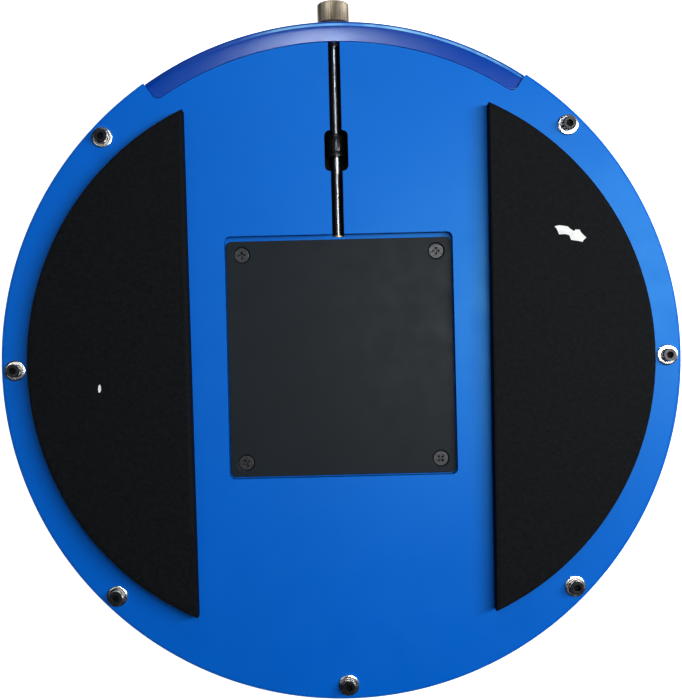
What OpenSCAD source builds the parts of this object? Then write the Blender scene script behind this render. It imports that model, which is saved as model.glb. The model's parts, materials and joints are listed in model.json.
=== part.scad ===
// Fourteen inch drum practice pad with adjustable snares, seen from its underside.
// +Z points out of the underside, +Y towards the knob, and z = 0 is the playing face.

/* [Base] */
// Outside diameter of the base
outer_d = 355.6; // [350:0.1:362]
// Height of the base, from the clamp ring to the flat underside
base_h = 21; // [20:0.5:24]
// Thickness of the base's flat underside
floor_t = 4; // [3.5:0.5:5]
// Width of the base's rim wall
rim_w = 14.8; // [14:0.1:16]
// Radius on the outside edge of the underside
edge_r = 1.8; // [1:0.1:2.5]

/* [Playing face] */
// Diameter of the rubber playing surface
rubber_d = 308; // [300:1:309]
// Thickness of the rubber
rubber_t = 6; // [5:0.5:8]
// Thickness of the steel plate under the rubber
head_t = 1.5; // [1:0.5:2]
// Thickness of the gasket between the plate and the base
gasket_t = 1.5; // [1:0.5:2]
// Inside diameter of the clamp ring's lip
ring_lip_d = 310; // [310:1:316]

/* [Rim screws] */
// Diameter of the circle of rim screws
bolt_circle_d = 340.4; // [340:0.1:343]
// Nominal thread diameter of the rim screws
bolt_d = 4; // [3:1:4]
// Length of the rim screws under the head
bolt_l = 30; // [26:1:30]
// Outside diameter of the washers
washer_d = 10.9; // [9:0.1:12]
// Thickness of the washers
washer_t = 1.2; // [0.8:0.1:1.6]

/* [Cover] */
// Width of the cover's recess
recess_w = 119.3; // [119:0.1:120]
// Length of the recess, along the shaft
recess_l = 126.9; // [126:0.1:128]
// Distance of the recess's centre from the pad's centre, towards the knob
recess_y = 1.95; // [1.8:0.05:2.1]
// Distance of the cover's centre from the pad's centre
cover_y = 1.1; // [1:0.1:1.3]
// Width of the cover
cover_w = 118.1; // [117:0.1:118.5]
// Length of the cover
cover_l = 123.7; // [123:0.1:124]
// Depth of the cover's face below the underside
cover_drop = 4; // [3.5:0.1:4]
// Thickness of the cover
cover_t = 2.5; // [2:0.1:3]
// Distance between the cover's screws, across
cover_screw_w = 102.2; // [101:0.1:103]
// Distance between the cover's screws, along
cover_screw_l = 109.2; // [108:0.1:110]

/* [Foam feet] */
// Radius of the feet's outer arc
foot_r = 144.5; // [140:0.5:146]
// Offset of that arc's centre from the pad's centre
foot_arc_x = 17.3; // [15:0.1:19]
// Distance of the straight edges from the pad's centre
foot_edge_x = 78; // [70:0.5:85]
// Angle by which each foot's straight edge is off square, as glued on by hand
foot_skew = 0.46; // [0:0.01:1]
// Thickness of the foam
foot_t = 10; // [6:1:14]

/* [Adjuster] */
// Depth of the shaft's axis below the underside
axis_depth = 12; // [12:0.1:12.5]
// Diameter of the shaft and the lead screw
shaft_d = 5; // [4:0.1:5]
// Width of the shaft's slot
slot_w = 6.2; // [6:0.1:7]
// Knob diameter
knob_d = 16.8; // [14:0.1:17]
// Knob length
knob_l = 10.7; // [8:0.1:12]
// Gap between the rim and the knob
knob_gap = 0.4; // [0.4:0.1:2]
// Coupling diameter
coupling_d = 11; // [9:0.1:11]
// Coupling length
coupling_l = 12.4; // [9:0.1:12.4]
// Distance of the coupling's centre from the pad's centre
coupling_y = 113; // [112:0.1:113]
// Width of the pocket that the coupling turns in
pocket_w = 12.4; // [12.2:0.1:13]
// Where the pocket starts and ends, measured from the pad's centre
pocket_y = [98.3, 119.6];
// Half of the angle that the rim bridge takes up
bridge_half_a = 34.3; // [30:0.1:36]

/* [Snares] */
// Height gained per length of ramp
ramp_slope = 0.4; // [0.3:0.05:0.4]
// Number of snare wires
wire_count = 16; // [8:1:16]
// Diameter of a snare wire's coil
wire_d = 1.6; // [1:0.1:1.6]

/* [Hidden] */
$fn = 96;

// A cut runs this far past the face that it opens
past = 1;
// Gap between pieces that are dropped into each other
gap = 0.3;
// Radial clearance of a shaft in its bearing
running = 0.05;
// Radial gap of a screw's shank in its hole
thread_gap = 0.05;
// A rounding cylinder is this much larger, so that it crosses the faces that it meets
tangent = 0.005;

// Heights of the stack, from the playing face up
outer_r = outer_d / 2;
head_z = rubber_t;
gasket_z = head_z + head_t;
split_z = gasket_z + gasket_t;
face_z = split_z + base_h;
floor_z = face_z - floor_t;
axis_z = face_z - axis_depth;
ring_z = 1;
// Chamfer on the base's edge over the clamp ring, which is a little smaller than the base
edge_break = 1;
ring_out_r = outer_r - 0.6;
rim_in_r = outer_r - rim_w;
// The base's inner lip, which presses on the gasket
lip_in_r = 156;
lip_h = 3;
head_r = 164.6;
ring_in_r = 165;

// Rim screws, by their angles from the X axis: an eighth of a turn apart or a little less or more, as drilled,
// with the knob in the eighth place
bolt_angles = [-0.6, 44.6, 135.8, 180.7, 225.3, 270, 314.5];
bolt_r = bolt_d / 2;
bolt_hole_r = bolt_r + 0.25;
bolt_head_r = 3.5;
bolt_head_h = 5;
hex_af = 3;

// Cover, its ledge and the well under it
cover_z = face_z - cover_drop;
ledge_z = cover_z - cover_t;
recess_r = 3;
block_wall = 4;
block_z = split_z + 1;
well_w = 92;
well_l = 100.5;
boss_w = 15;
boss_z = 17.5;
sink_r = 4.55;
cover_screw_r = 2;
cover_head_r = 3.8;
// The head's rim above its cone, and the seat's play
cover_head_rim = 0.3;
cover_head_play = 0.03;
cover_screw_end = 14;
cross_l = 4.2;
cross_w = 0.9;
cross_h = 1.7;

// Rim bridge
bridge_in_r = 165.8;
bridge_out_r = outer_r - 0.8;
bridge_top = face_z - 1.5;
bridge_z = bridge_top - 6;
bridge_corner = 3.5;
bridge_screw_a = 24;
bridge_screw_r = 1.5;
bridge_head_r = 2.75;
bridge_head_h = 3;
// Depth to which their heads are sunk in the base's lower side
bridge_sink = 5;
bridge_screw_grip = 4;

// Shaft line
shaft_r = shaft_d / 2;
bush_r = 4;
spot_y = outer_r - 0.5;
spot_r = 6.5;
flange_t = 0.5;
slot_z = axis_z - shaft_r - 1;
channel_half_w = slot_w / 2 + 6;
channel_floor_t = 2.5;
knob_y = outer_r + knob_gap;
well_top = cover_y + well_l / 2;
recess_top = recess_y + recess_l / 2;
screw_end_y = cover_y - 24;
knob_end_t = 1.5;
knob_set_r = 1.5;
knob_set_l = 5;
coupling_set_r = 1.25;
coupling_set_l = 2.6;
coupling_set_y = 3;
o_ring_y = 171.1;
o_ring_wire_r = 0.5;
o_groove_r = 3.6;
o_groove_l = 2.2;
clip_t = 0.8;
clip_y = well_top - flange_t - 0.1 - clip_t;
clip_groove_r = 2.1;

// Wedge carriage, under the cover
carriage_top = ledge_z - gap;
carriage_z = carriage_top - 3;
carriage_half_w = 24;
carriage_half_l = 30;
nut_r = 4;
nut_half_l = 6;
nut_plate_half_w = 8;
nut_plate_half_h = 4.8;
nut_flange_t = 2;
nut_screw_x = 6;
nut_screw_r = 1;
rail_w = 5;
rail_half_l = 40;
rail_lip = 2.8;
rail_z = carriage_z - gap - 0.9;
rail_screw_y = 32;

// Snare lifter, under the carriage
lifter_z = 11.3;
lifter_t = 2.5;
lifter_top = lifter_z + lifter_t;
lifter_half_l = 38;
lifter_window = [20, 32];
ramp_x = [15, 21];
ramp_half_l = 8;
ramp_y = 18;
mesh_gap = 0.1;
guide_x = 38;
guide_y = 42.25;
guide_r = 2.5;
guide_head_r = 4;
guide_head_z = gasket_z + 0.5;
guide_head_top = 10.5;
guide_thread_r = 1.5;
ear_r = 6;
ear_top = boss_z - 0.2;
spring_seat = 14.8;
spring_seat_r = 4.5;
spring_r = 3.4;
spring_wire_r = 0.25;
spring_turns = 3;
clamp_x = [34, 40];
clamp_half_l = 23;
clamp_z = 9.8;
clamp_screw_y = 21.5;
wire_pitch = 2.4;

// Small countersunk screws, M2.5, whose heads face the playing side
small_r = 1.25;
small_head_r = 2.15;
small_play = 0.1;

// ---- Shared shapes ----

// A ring of rectangular section
module ring(r_in, r_out, z0, z1) {
    translate([0, 0, z0])
        linear_extrude(z1 - z0)
            difference() {
                circle(r = r_out);
                circle(r = r_in);
            }
}

// A plain cylinder between two heights
module post(r, z0, z1) {
    translate([0, 0, z0])
        cylinder(h = z1 - z0, r = r);
}

// Children drawn along +Z from the origin, laid along +Y on the shaft's axis
module along_shaft(y) {
    translate([0, y, axis_z])
        rotate([-90, 0, 0])
            children();
}

// A cylinder on the shaft's axis
module shaft_rod(r, y0, y1) {
    along_shaft(y0)
        cylinder(h = y1 - y0, r = r);
}

// A turned rod on the shaft's axis with a chamfer c at its inner end and far_c at its outer end
module chamfered_rod(r, y0, y1, c, far_c) {
    l = y1 - y0;
    along_shaft(y0)
        rotate_extrude()
            polygon([[0, 0], [r - c, 0], [r, c], [r, l - far_c], [r - far_c, l], [0, l]]);
}

// A rectangle with round corners, centred on the shaft's line
module round_rect(y, w, l, r) {
    translate([0, y]) {
        square([w - 2 * r, l], center = true);
        square([w, l - 2 * r], center = true);
        for (x = [-1, 1], y = [-1, 1])
            translate([x * (w / 2 - r), y * (l / 2 - r)])
                circle(r = r);
    }
}

// A slice of the plane between two angles, under 180 degrees apart
module slice(a0, a1) {
    reach = 4 * outer_r;
    polygon([[0, 0], reach * [cos(a0), sin(a0)], reach * [cos((a0 + a1) / 2), sin((a0 + a1) / 2)],
             reach * [cos(a1), sin(a1)]]);
}

// Children at each rim screw
module at_bolts() {
    for (a = bolt_angles)
        rotate([0, 0, a])
            translate([bolt_circle_d / 2, 0, 0])
                children();
}

// Children at the four points of a rectangle about the cover's centre
module at_corners(x, y) {
    for (sx = [-1, 1], sy = [-1, 1])
        translate([sx * x, cover_y + sy * y, 0])
            children();
}

// Children at the rim bridge's two screws
module at_bridge_screws() {
    for (a = [90 - bridge_screw_a, 90 + bridge_screw_a])
        rotate([0, 0, a])
            translate([(bridge_in_r + bridge_out_r) / 2, 0, 0])
                children();
}

// A cone between two radii, rising one for one
module cone(r0, r1, z0) {
    translate([0, 0, z0])
        cylinder(h = abs(r1 - r0), r1 = r0, r2 = r1);
}

// The hole for a small countersunk screw, open at z0
module small_hole(z0, z1) {
    post(small_r + small_play, z0 - past, z1 + past);
    translate([0, 0, z0 - 0.01])
        cylinder(h = 1.01, r1 = small_head_r + 0.15, r2 = small_r + thread_gap);
}

// A small countersunk screw in the hole that opens at z0
module small_screw(z0, z1) {
    post(small_r, z0 + small_play, z1);
    translate([0, 0, z0 + thread_gap])
        cylinder(h = small_head_r - small_r, r1 = small_head_r, r2 = small_r);
}

// ---- Base and underside ----

// Section of the base, to be turned about the axis
module tray_section() {
    translate([0, floor_z])
        square([outer_r - edge_r, floor_t]);
    polygon([[rim_in_r, split_z], [outer_r - edge_break, split_z], [outer_r, split_z + edge_break],
             [outer_r, face_z - edge_r], [rim_in_r, face_z - edge_r]]);
    translate([rim_in_r, split_z])
        square([rim_w - edge_r, base_h]);
    translate([lip_in_r, split_z])
        square([rim_in_r - lip_in_r + past, lip_h]);
    translate([outer_r - edge_r, face_z - edge_r])
        circle(r = edge_r);
}

// A block over the bridge's slice of the rim, outside a radius, with its two inner corners rounded
module bridge_block(r_in, half_a, h) {
    corner_r = r_in + bridge_corner;
    corner_a = asin(bridge_corner / corner_r);
    linear_extrude(h)
        difference() {
            slice(90 - half_a, 90 + half_a);
            circle(r = corner_r);
        }
    linear_extrude(h)
        difference() {
            slice(90 - half_a + corner_a, 90 + half_a - corner_a);
            circle(r = r_in);
        }
    for (a = [90 - half_a + corner_a, 90 + half_a - corner_a])
        rotate([0, 0, a])
            translate([corner_r, 0, 0])
                cylinder(h = h, r = bridge_corner + tangent);
}

// The well's outline, with its corners filled where they carry the guide screws
module well_outline(corner) {
    difference() {
        translate([0, cover_y])
            square([well_w, well_l], center = true);
        if (corner > 0)
            for (x = [-1, 1], y = [-1, 1])
                translate([x * well_w / 2, cover_y + y * well_l / 2])
                    square(2 * corner, center = true);
    }
}

// Walls that stand under the floor: the cover's block, the shaft's channel and the coupling's pocket
module tray_walls() {
    translate([0, 0, block_z])
        linear_extrude(floor_z - block_z + past)
            round_rect(recess_y, recess_w + 2 * block_wall, recess_l + 2 * block_wall,
                       recess_r + block_wall);
    translate([-channel_half_w, recess_top, slot_z - channel_floor_t])
        cube([2 * channel_half_w, rim_in_r - recess_top + past, floor_z - slot_z + channel_floor_t + past]);
    translate([-pocket_w / 2 - 4, pocket_y[0] - 4, block_z])
        cube([pocket_w + 8, pocket_y[1] - pocket_y[0] + 8, floor_z - block_z + past]);
}

// The pocket that the coupling turns in
module coupling_pocket() {
    translate([0, 0, axis_z - coupling_d / 2 - 0.7])
        linear_extrude(base_h)
            round_rect((pocket_y[0] + pocket_y[1]) / 2, pocket_w, pocket_y[1] - pocket_y[0], 2.8);
}

module base_tray() {
    color([0.01, 0.36, 0.75])
        difference() {
            union() {
                rotate_extrude()
                    tray_section();
                tray_walls();
            }
            translate([0, 0, ledge_z])
                linear_extrude(face_z)
                    round_rect(recess_y, recess_w, recess_l, recess_r);
            translate([0, 0, boss_z])
                linear_extrude(base_h)
                    well_outline(boss_w);
            translate([0, 0, block_z - past])
                linear_extrude(boss_z - block_z + past)
                    well_outline(0);
            translate([-slot_w / 2, recess_top - past, slot_z])
                cube([slot_w, bridge_in_r - recess_top + past, base_h]);
            coupling_pocket();
            translate([0, 0, bridge_z])
                bridge_block(bridge_in_r, bridge_half_a, base_h);
            shaft_rod(bush_r, well_top - past, recess_top);
            shaft_rod(bush_r, bridge_in_r - past, outer_r + past);
            shaft_rod(spot_r, spot_y, outer_r + past);
            at_bolts()
                post(bolt_hole_r, split_z - past, face_z + past);
            at_bridge_screws() {
                post(bridge_head_r + 0.25, split_z - past, split_z + bridge_sink);
                post(bridge_screw_r + 0.2, split_z, face_z);
            }
            at_corners(cover_screw_w / 2, cover_screw_l / 2)
                post(cover_screw_r + thread_gap, cover_screw_end - 1, face_z);
            at_corners(guide_x, guide_y)
                post(guide_thread_r, boss_z - past, boss_z + 5.5);
        }
}

module rim_bridge() {
    color([0.02, 0.42, 0.85])
        difference() {
            intersection() {
                translate([0, 0, bridge_z])
                    bridge_block(bridge_in_r + gap / 2, bridge_half_a - 0.05, bridge_top - bridge_z);
                post(bridge_out_r, bridge_z - past, bridge_top + past);
            }
            at_bridge_screws()
                post(bridge_screw_r, bridge_z - past, bridge_z + bridge_screw_grip + 0.5);
        }
}

module bridge_screws() {
    color([0.2, 0.2, 0.22])
        at_bridge_screws() {
            post(bridge_head_r, split_z + bridge_sink - bridge_head_h, split_z + bridge_sink);
            post(bridge_screw_r, split_z + bridge_sink - past / 2, bridge_z + bridge_screw_grip);
        }
}

module cover_plate() {
    color([0.18, 0.2, 0.22])
        difference() {
            translate([0, 0, ledge_z])
                linear_extrude(cover_t)
                    round_rect(cover_y, cover_w, cover_l, recess_r - gap);
            at_corners(cover_screw_w / 2, cover_screw_l / 2) {
                cone(cover_screw_r + gap, sink_r + 0.01, cover_z - (sink_r - cover_screw_r - gap));
                post(cover_screw_r + gap, ledge_z - past, cover_z);
            }
            at_corners(carriage_half_w + gap + rail_w / 2, rail_screw_y)
                post(small_r, ledge_z - past, ledge_z + 1.8);
        }
}

module cover_screws() {
    cone_top = cover_z - (sink_r - cover_head_r) + cover_head_play;
    head_top = cone_top + cover_head_rim;
    color([0.14, 0.14, 0.15])
        at_corners(cover_screw_w / 2, cover_screw_l / 2)
            difference() {
                union() {
                    post(cover_head_r, cone_top, head_top);
                    cone(cover_screw_r, cover_head_r, cone_top - (cover_head_r - cover_screw_r));
                    post(cover_screw_r, cover_screw_end, cone_top - past);
                }
                for (a = [0, 90])
                    rotate([0, 0, a])
                        translate([-cross_l / 2, -cross_w / 2, head_top - cross_h])
                            cube([cross_l, cross_w, cross_h + past]);
            }
}

// A foot: the piece of a disc beyond a straight edge
module foot(side) {
    color([0.07, 0.07, 0.08])
        translate([0, 0, face_z])
            linear_extrude(foot_t)
                intersection() {
                    translate([side * foot_arc_x, 0])
                        circle(r = foot_r);
                    rotate(-side * foot_skew)
                        translate([side * (foot_edge_x + foot_r), 0])
                            square(2 * foot_r, center = true);
                }
}

module foam_pad_left() { foot(-1); }

module foam_pad_right() { foot(1); }

module rim_bolts() {
    head_z0 = face_z + washer_t;
    edge = 0.4;
    socket_h = 2.2;
    color([0.08, 0.08, 0.09])
        at_bolts()
            difference() {
                union() {
                    post(bolt_head_r, head_z0, head_z0 + bolt_head_h - edge);
                    translate([0, 0, head_z0 + bolt_head_h - edge])
                        cylinder(h = edge, r1 = bolt_head_r, r2 = bolt_head_r - edge);
                    post(bolt_r, head_z0 - bolt_l, head_z0);
                }
                translate([0, 0, head_z0 + bolt_head_h - socket_h])
                    cylinder(h = socket_h + past, d = hex_af / cos(30), $fn = 6);
            }
}

module rim_washers() {
    bevel = 0.3;
    color([0.8, 0.8, 0.78])
        at_bolts()
            translate([0, 0, face_z])
                rotate_extrude()
                    polygon([[bolt_hole_r, 0], [washer_d / 2, 0], [washer_d / 2, washer_t - bevel],
                             [washer_d / 2 - bevel, washer_t], [bolt_hole_r, washer_t]]);
}

// ---- Playing side ----

module clamp_ring() {
    round_r = 3;
    color([0.05, 0.05, 0.06])
        difference() {
            rotate_extrude() {
                translate([ring_lip_d / 2, ring_z])
                    square([ring_in_r - ring_lip_d / 2 + past, head_z - ring_z]);
                translate([ring_in_r, ring_z])
                    square([ring_out_r - round_r - ring_in_r, split_z - ring_z]);
                translate([ring_in_r, ring_z + round_r])
                    square([ring_out_r - ring_in_r, split_z - ring_z - round_r]);
                translate([ring_out_r - round_r, ring_z + round_r])
                    circle(r = round_r);
            }
            at_bolts()
                post(bolt_r, ring_z - past, split_z + past);
        }
}

module head_gasket() {
    color([0.1, 0.1, 0.1])
        ring(lip_in_r, head_r, gasket_z, split_z);
}

module head_plate() {
    color([0.6, 0.6, 0.62])
        post(head_r, head_z, gasket_z);
}

module rubber_pad() {
    round_r = 1.5;
    rubber_r = rubber_d / 2;
    color([0.12, 0.12, 0.13])
        rotate_extrude() {
            square([rubber_r - round_r, rubber_t]);
            translate([0, round_r])
                square([rubber_r, rubber_t - round_r]);
            translate([rubber_r - round_r, round_r])
                circle(r = round_r);
        }
}

// ---- Adjuster shaft ----

// A grub screw that points along +Z, with its hex socket at its lower end
module set_screw(r, l) {
    difference() {
        cylinder(h = l, r = r);
        translate([0, 0, -past])
            cylinder(h = r + past, d = r / cos(30), $fn = 6);
    }
}

// A flanged bush whose flange is at its far end along the axis
module bush(y0, y1) {
    difference() {
        union() {
            shaft_rod(bush_r, y0, y1);
            shaft_rod(bush_r + 1.5, y1, y1 + flange_t);
        }
        shaft_rod(shaft_r + running, y0 - past, y1 + flange_t + past);
    }
}

module rim_bushing() {
    color([0.75, 0.6, 0.3])
        difference() {
            bush(bridge_in_r, spot_y);
            shaft_rod(o_groove_r, o_ring_y - o_groove_l / 2, o_ring_y + o_groove_l / 2);
        }
}

module shaft_o_ring() {
    color([0.1, 0.1, 0.1])
        along_shaft(o_ring_y)
            rotate_extrude()
                translate([shaft_r + running + o_ring_wire_r, 0])
                    circle(r = o_ring_wire_r);
}

module box_bushing() {
    color([0.75, 0.6, 0.3])
        translate([0, well_top + recess_top, 0])
            mirror([0, 1, 0])
                bush(well_top, recess_top);
}

module knob_thrust_washer() {
    color([0.9, 0.9, 0.88])
        difference() {
            shaft_rod(5, spot_y + flange_t, knob_y - running);
            shaft_rod(shaft_r + running, spot_y, knob_y);
        }
}

module knob() {
    color([0.62, 0.61, 0.58])
        difference() {
            chamfered_rod(knob_d / 2, knob_y, knob_y + knob_l, 0.3, 0.8);
            shaft_rod(shaft_r, knob_y - past, knob_y + knob_l - knob_end_t);
            translate([0, knob_y + knob_l / 2, axis_z - knob_d / 2 - past])
                cylinder(h = knob_d / 2 + past, r = knob_set_r);
        }
}

module knob_set_screw() {
    color([0.1, 0.1, 0.1])
        translate([0, knob_y + knob_l / 2, axis_z - shaft_r - knob_set_l])
            set_screw(knob_set_r, knob_set_l);
}

module knob_shaft() {
    color([0.3, 0.31, 0.33])
        chamfered_rod(shaft_r, coupling_y + 0.1, knob_y + knob_l - knob_end_t - 0.1, 0.3, 0.3);
}

module shaft_coupling() {
    color([0.17, 0.17, 0.18])
        difference() {
            chamfered_rod(coupling_d / 2, coupling_y - coupling_l / 2, coupling_y + coupling_l / 2, 0.5, 1.2);
            shaft_rod(shaft_r, coupling_y - coupling_l, coupling_y + coupling_l);
            for (y = [-coupling_set_y, coupling_set_y])
                translate([0, coupling_y + y, axis_z - coupling_d])
                    cylinder(h = coupling_d, r = coupling_set_r);
        }
}

module coupling_set_screws() {
    color([0.1, 0.1, 0.1])
        for (y = [-coupling_set_y, coupling_set_y])
            translate([0, coupling_y + y, axis_z - shaft_r - coupling_set_l])
                set_screw(coupling_set_r, coupling_set_l);
}

module lead_screw() {
    color([0.3, 0.31, 0.33])
        difference() {
            chamfered_rod(shaft_r, screw_end_y, coupling_y - 0.1, 0.3, 0.3);
            difference() {
                shaft_rod(shaft_r + past, clip_y, clip_y + clip_t);
                shaft_rod(clip_groove_r, clip_y - past, clip_y + clip_t + past);
            }
        }
}

module shaft_clip() {
    color([0.5, 0.5, 0.52])
        difference() {
            shaft_rod(shaft_r + 2, clip_y, clip_y + clip_t);
            shaft_rod(clip_groove_r, clip_y - past, clip_y + clip_t + past);
            translate([-1.6, clip_y - past, axis_z - shaft_r - 4])
                cube([3.2, clip_t + 2 * past, 4 + shaft_r - 1.4]);
        }
}

// ---- Wedge carriage ----

// A ramp's side view, in Y and Z about the ramp's middle, on one side of the sloping plane
module ramp_section(plane_z, back_z) {
    rise = ramp_slope * ramp_half_l;
    polygon([[-ramp_half_l, plane_z - rise], [ramp_half_l, plane_z + rise],
             [ramp_half_l, back_z], [-ramp_half_l, back_z]]);
}

// Four ramps, two on each side
module ramps(plane_z, back_z) {
    for (side = [-1, 1], y = [-ramp_y, ramp_y])
        translate([side * (ramp_x[0] + ramp_x[1]) / 2 - (ramp_x[1] - ramp_x[0]) / 2, cover_y + y, 0])
            rotate([90, 0, 90])
                linear_extrude(ramp_x[1] - ramp_x[0])
                    ramp_section(plane_z, back_z);
}

// Height of the sloping plane at a ramp's middle
plane_mid = (lifter_top + carriage_z) / 2;

module wedge_carriage() {
    nut_plate_h = nut_plate_half_h + carriage_z - axis_z;
    color([0.35, 0.36, 0.38])
        difference() {
            union() {
                translate([-carriage_half_w, cover_y - carriage_half_l, carriage_z])
                    cube([2 * carriage_half_w, 2 * carriage_half_l, carriage_top - carriage_z]);
                translate([-nut_plate_half_w, cover_y - nut_half_l, axis_z - nut_plate_half_h])
                    cube([2 * nut_plate_half_w, 2 * nut_half_l, nut_plate_h + past]);
                ramps(plane_mid, carriage_z + past);
            }
            shaft_rod(nut_r, cover_y - nut_half_l - past, cover_y + nut_half_l + past);
            shaft_rod(shaft_r + gap, cover_y - carriage_half_l - past, cover_y + carriage_half_l + past);
            for (x = [-nut_screw_x, nut_screw_x])
                translate([x, 0, 0])
                    shaft_rod(nut_screw_r, cover_y, cover_y + nut_half_l + past);
        }
}

module lead_nut() {
    flange_y = cover_y + nut_half_l;
    flange_h = nut_plate_half_h + carriage_z - axis_z - gap;
    color([0.8, 0.65, 0.3])
        difference() {
            union() {
                shaft_rod(nut_r, cover_y - nut_half_l, flange_y);
                translate([-nut_plate_half_w, flange_y, axis_z - nut_plate_half_h])
                    cube([2 * nut_plate_half_w, nut_flange_t, flange_h]);
            }
            shaft_rod(shaft_r + running, cover_y - 2 * nut_half_l, cover_y + 2 * nut_half_l);
            for (x = [-nut_screw_x, nut_screw_x])
                translate([x, 0, 0])
                    shaft_rod(nut_screw_r + small_play, cover_y, flange_y + nut_flange_t + past);
        }
}

module nut_screws() {
    head_y = cover_y + nut_half_l + nut_flange_t;
    color([0.6, 0.6, 0.62])
        for (x = [-nut_screw_x, nut_screw_x])
            translate([x, 0, 0]) {
                shaft_rod(nut_screw_r, cover_y + 1, head_y);
                shaft_rod(nut_screw_r + 0.9, head_y, head_y + 1.3);
            }
}

// ---- Guides, on the base ----

module slide_rails() {
    inner_x = carriage_half_w + gap;
    color([0.85, 0.85, 0.82])
        for (side = [-1, 1])
            difference() {
                translate([side * inner_x, cover_y, 0])
                    rotate([90, 0, 0])
                        linear_extrude(2 * rail_half_l, center = true)
                            polygon([[0, carriage_z - gap], [-side * rail_lip, carriage_z - gap],
                                     [-side * rail_lip, rail_z], [side * rail_w, rail_z],
                                     [side * rail_w, ledge_z], [0, ledge_z]]);
                at_corners(inner_x + rail_w / 2, rail_screw_y)
                    small_hole(rail_z, ledge_z);
            }
}

module rail_screws() {
    color([0.6, 0.6, 0.62])
        at_corners(carriage_half_w + gap + rail_w / 2, rail_screw_y)
            small_screw(rail_z, ledge_z + 1.6);
}

module guide_screws() {
    color([0.55, 0.55, 0.57])
        at_corners(guide_x, guide_y)
            difference() {
                union() {
                    post(guide_head_r, guide_head_z, guide_head_top);
                    post(guide_r, guide_head_top, boss_z);
                    post(guide_thread_r, boss_z, boss_z + 5);
                }
                translate([0, 0, guide_head_z - past])
                    cylinder(h = 1.5 + past, d = 2.5 / cos(30), $fn = 6);
            }
}

// Points of a closed ring of wire at one step along the spring
function wire_ring(turn, z) =
    [for (s = [0:7])
        let (a = 45 * s, r = spring_r + spring_wire_r * cos(a))
            [r * cos(360 * turn), r * sin(360 * turn), z + spring_wire_r * sin(a)]];

module spring(z0, z1) {
    steps = 20 * spring_turns;
    rise = z1 - z0 - 2 * spring_wire_r;
    points = [for (i = [0:steps])
        each wire_ring(i / 20, z0 + spring_wire_r + rise * i / steps)];
    walls = [for (i = [0:steps - 1], s = [0:7])
        let (n = (s + 1) % 8)
            [8 * i + s, 8 * i + n, 8 * i + 8 + n, 8 * i + 8 + s]];
    ends = [[for (s = [7:-1:0]) s], [for (s = [0:7]) 8 * steps + s]];
    polyhedron(points, concat(walls, ends));
}

module return_springs() {
    color([0.75, 0.75, 0.77])
        at_corners(guide_x, guide_y)
            spring(guide_head_top, spring_seat);
}

// ---- Snare lifter ----

module snare_lifter() {
    color([0.4, 0.41, 0.43])
        difference() {
            union() {
                translate([-clamp_x[0], cover_y - lifter_half_l, lifter_z])
                    cube([2 * clamp_x[0], 2 * lifter_half_l, lifter_t]);
                for (y = [-guide_y, guide_y])
                    translate([-guide_x, cover_y + y - ear_r, lifter_z])
                        cube([2 * guide_x, 2 * ear_r, lifter_t]);
                for (x = [clamp_x[0] - 4, -clamp_x[1]])
                    translate([x, cover_y - clamp_half_l, lifter_z])
                        cube([clamp_x[1] - clamp_x[0] + 4, 2 * clamp_half_l, lifter_t]);
                at_corners(guide_x, guide_y)
                    post(ear_r, lifter_z, ear_top);
                ramps(plane_mid - mesh_gap, lifter_z + 1);
            }
            translate([-lifter_window[0] / 2, cover_y - 12, lifter_z - past])
                cube([lifter_window[0], lifter_window[1], lifter_t + 2 * past]);
            at_corners(guide_x, guide_y) {
                post(guide_r + running, lifter_z - past, ear_top + past);
                post(spring_seat_r, lifter_z - past, spring_seat);
            }
            at_corners((clamp_x[0] + clamp_x[1]) / 2, clamp_screw_y)
                post(small_r, lifter_z - past, lifter_top - 0.3);
        }
}

module snare_end_clamps() {
    color([0.78, 0.78, 0.8])
        for (x = [clamp_x[0], -clamp_x[1]])
            difference() {
                translate([x, cover_y - clamp_half_l, clamp_z])
                    cube([clamp_x[1] - clamp_x[0], 2 * clamp_half_l, lifter_z - clamp_z]);
                at_corners((clamp_x[0] + clamp_x[1]) / 2, clamp_screw_y)
                    small_hole(clamp_z, lifter_z);
            }
}

module snare_wires() {
    wire_z = lifter_z - 0.1 - wire_d / 2;
    color([0.8, 0.8, 0.82])
        for (i = [0:wire_count - 1])
            translate([-clamp_x[0], cover_y + (i - (wire_count - 1) / 2) * wire_pitch, wire_z])
                rotate([0, 90, 0])
                    cylinder(h = 2 * clamp_x[0], d = wire_d);
}

module snare_screws() {
    color([0.6, 0.6, 0.62])
        at_corners((clamp_x[0] + clamp_x[1]) / 2, clamp_screw_y)
            small_screw(clamp_z, lifter_top - 0.5);
}

base_tray();
rim_bridge();
bridge_screws();
cover_plate();
cover_screws();
foam_pad_left();
foam_pad_right();
rim_bolts();
rim_washers();
clamp_ring();
head_gasket();
head_plate();
rubber_pad();
rim_bushing();
box_bushing();
shaft_o_ring();
knob_thrust_washer();
slide_rails();
rail_screws();
guide_screws();
return_springs();
knob();
knob_set_screw();
knob_shaft();
shaft_coupling();
coupling_set_screws();
lead_screw();
shaft_clip();
wedge_carriage();
lead_nut();
nut_screws();
snare_lifter();
snare_end_clamps();
snare_wires();
snare_screws();
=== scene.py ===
"""Looks of a drum practice pad with snares, lying on its playing face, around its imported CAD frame."""

import json
import math

import bmesh
import bpy
from mathutils import Matrix, Vector, noise


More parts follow.
